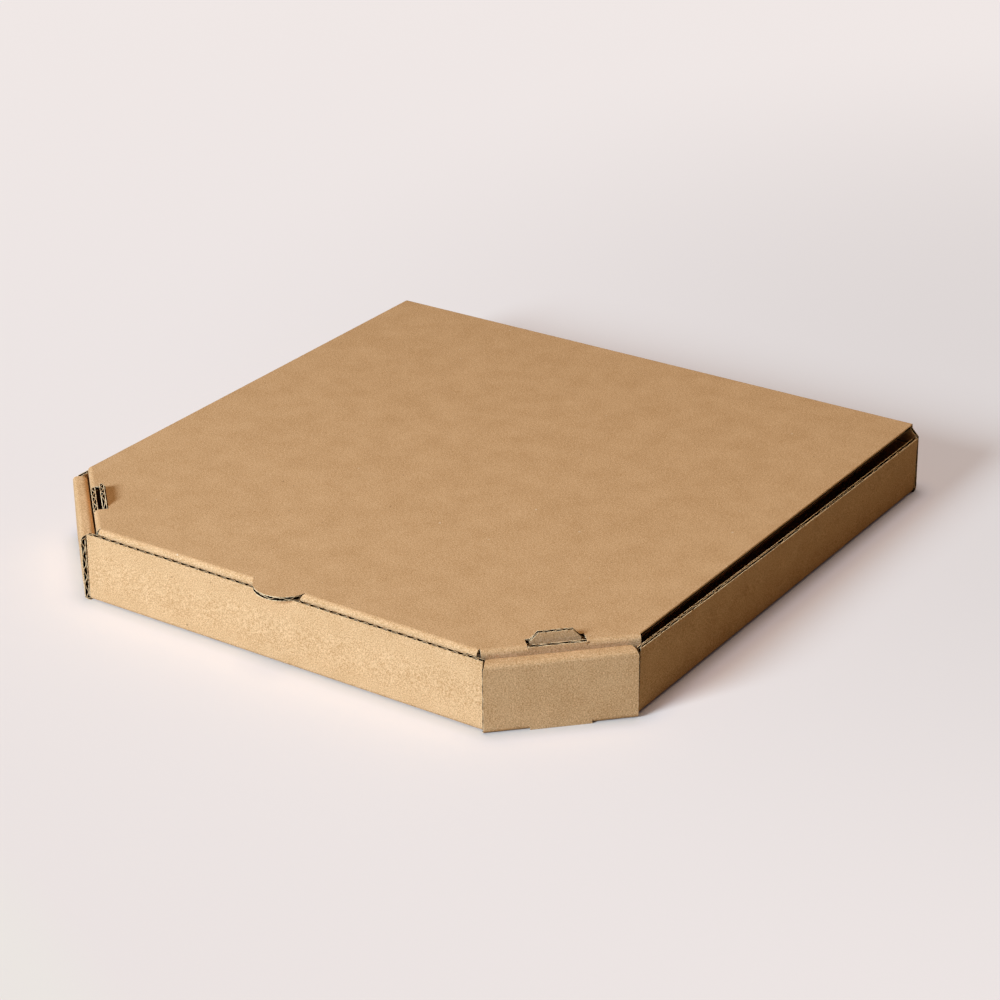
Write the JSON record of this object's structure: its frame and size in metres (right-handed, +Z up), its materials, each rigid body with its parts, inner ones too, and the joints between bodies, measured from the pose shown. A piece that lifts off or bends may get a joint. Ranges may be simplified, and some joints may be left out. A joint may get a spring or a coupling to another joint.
{
  "type": "pizza box",
  "caption": "Shallow square folding box of brown corrugated board with clipped, rolled front corners and a hinged tuck lid.",
  "frame": {"origin": "on the table under the middle of the tray's floor, halfway between the front and back walls", "axes": "+X to the right seen from the front, +Y from the front wall to the hinge at the back, +Z up"},
  "size_m": [0.3902, 0.3918, 0.0488],
  "materials": {
    "kraft_board": "matte"
  },
  "bodies": {
    "tray": {"tray": "kraft_board"},
    "lid": {"lid": "kraft_board"}
  },
  "joints": [
    {"name": "lid_hinge", "type": "hinge", "parent": "tray", "child": "lid", "pos_m": [0, 0.19045, 0.04265], "axis": [-1, 0, 0], "range_deg": [0, 180]}
  ]
}
